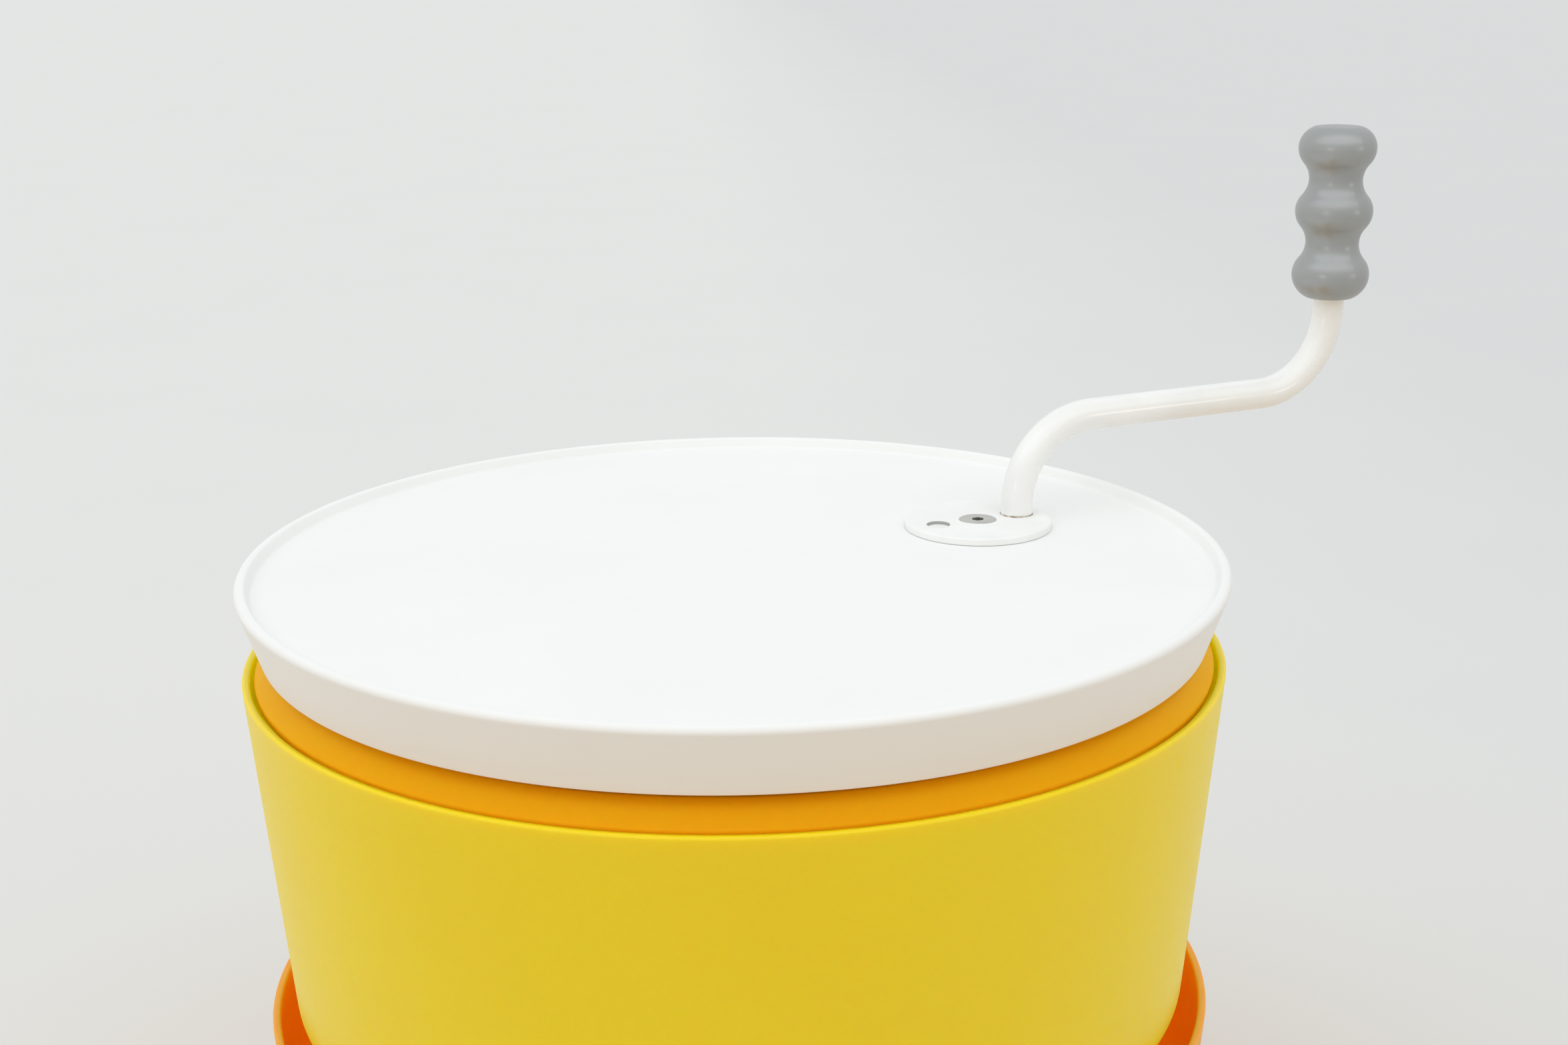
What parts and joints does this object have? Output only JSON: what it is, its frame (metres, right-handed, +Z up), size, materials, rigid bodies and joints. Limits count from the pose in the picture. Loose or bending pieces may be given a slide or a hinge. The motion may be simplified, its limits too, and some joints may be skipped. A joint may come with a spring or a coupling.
{
  "type": "hand-cranked salad spinner",
  "caption": "Round stacked salad spinner: a tapered collector, a splash tub and a slotted basket under a flat lid, spun through gears by an offset crank with a free-turning grip.",
  "frame": {"origin": "centre of the base pad's underside, on the common axis of the tubs, basket and lid", "axes": "+Z up along the common axis, +X from that axis to the crank's axis and on to the grip at rest"},
  "size_m": [0.54, 0.4198, 0.5182],
  "materials": {
    "grey_rubber": "soft matt rubber",
    "orange_plastic": "satin moulded plastic",
    "yellow_plastic": "satin moulded plastic",
    "amber_plastic": "satin moulded plastic",
    "white_plastic": "fine satin moulded plastic",
    "natural_acetal": "machined, slightly waxy",
    "steel": "turned bright steel",
    "white_enamel": "gloss powder coat",
    "grey_grip": "semi-gloss moulded plastic"
  },
  "bodies": {
    "collector": {"base_pad": "grey_rubber", "collector_tub": "orange_plastic", "pedestal": "orange_plastic", "pedestal_screws": "steel"},
    "splash_unit": {"splash_tub": "yellow_plastic", "floor_socket": "natural_acetal", "socket_screws": "steel", "post": "steel", "key_pin": "steel", "post_washer": "steel", "post_nut": "steel"},
    "basket_bearing": {"bearing_sleeve": "steel", "thrust_washer": "natural_acetal"},
    "basket_unit": {"basket": "amber_plastic", "rim_ring": "amber_plastic", "basket_hub": "white_plastic", "hub_backing_ring": "steel", "hub_screws": "steel", "lower_bush": "natural_acetal", "upper_bush": "natural_acetal", "drive_pinion": "natural_acetal", "pinion_screws": "steel"},
    "lid": {"lid_shell": "white_plastic", "lid_hub": "natural_acetal", "lid_hub_screws": "steel", "gear_cover": "white_plastic", "cover_screws": "steel", "crank_bush": "natural_acetal", "idler_axle": "steel", "idler_washers": "natural_acetal"},
    "idler": {"idler_gear": "natural_acetal"},
    "crank": {"crank_gear": "natural_acetal", "crank_disc": "white_enamel", "crank_screw": "steel", "drive_dowel": "white_enamel", "crank_rod": "white_enamel", "grip_clip": "steel"},
    "grip": {"grip_sleeve": "natural_acetal", "grip": "grey_grip"}
  },
  "joints": [
    {"name": "splash_lift", "type": "slide", "parent": "collector", "child": "splash_unit", "axis": [0, 0, 1], "range_m": [0, 0.1]},
    {"name": "basket_lift", "type": "slide", "parent": "splash_unit", "child": "basket_bearing", "axis": [0, 0, 1], "range_m": [0, 0.18]},
    {"name": "basket_spin", "type": "hinge", "parent": "basket_bearing", "child": "basket_unit", "pos_m": [0, 0, 0.25], "axis": [0, 0, 1], "continuous": true},
    {"name": "lid_lift", "type": "slide", "parent": "basket_bearing", "child": "lid", "axis": [0, 0, 1], "range_m": [0, 0.15]},
    {"name": "crank_spin", "type": "hinge", "parent": "lid", "child": "crank", "pos_m": [0.1204, 0, 0.3474], "axis": [0, 0, 1], "continuous": true},
    {"name": "idler_spin", "type": "hinge", "parent": "lid", "child": "idler", "pos_m": [0.0501, 0.03819, 0.335], "axis": [0, 0, 1], "continuous": true},
    {"name": "grip_spin", "type": "hinge", "parent": "crank", "child": "grip", "pos_m": [0.3121, 0, 0.478], "axis": [0, 0, 1], "continuous": true}
  ],
  "couplings": [
    {"joint": "crank_spin", "follows": "basket_spin", "ratio": 0.25},
    {"joint": "idler_spin", "follows": "basket_spin", "ratio": -0.75}
  ]
}
